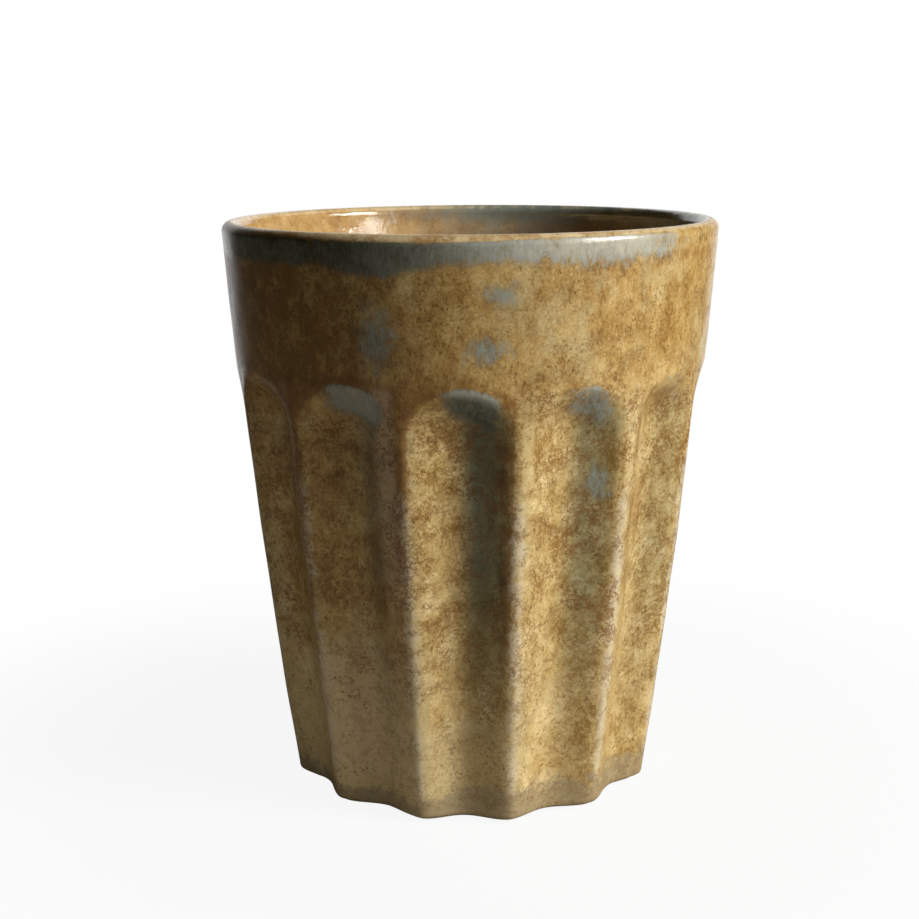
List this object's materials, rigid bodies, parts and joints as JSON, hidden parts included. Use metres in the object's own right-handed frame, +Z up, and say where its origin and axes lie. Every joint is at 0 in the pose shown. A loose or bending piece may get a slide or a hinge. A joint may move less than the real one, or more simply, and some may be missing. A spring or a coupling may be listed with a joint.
{
  "type": "latte cup",
  "caption": "Handleless tapered stoneware cup for milk coffee: a plain rounded lip band over round-headed concave flutes that run out through a scalloped foot.",
  "frame": {"origin": "middle of the foot, on the plane that the cup stands on", "axes": "+Z up the cup's axis to the mouth; -Y through the middle of a flute"},
  "size_m": [0.0868, 0.0868, 0.1],
  "materials": {
    "bare_clay": "matte",
    "mottled_glaze": "satin",
    "liner_glaze": "gloss"
  },
  "bodies": {
    "root": {"stoneware_body": "bare_clay", "outer_glaze": "mottled_glaze", "liner_glaze": "liner_glaze"}
  },
  "joints": []
}
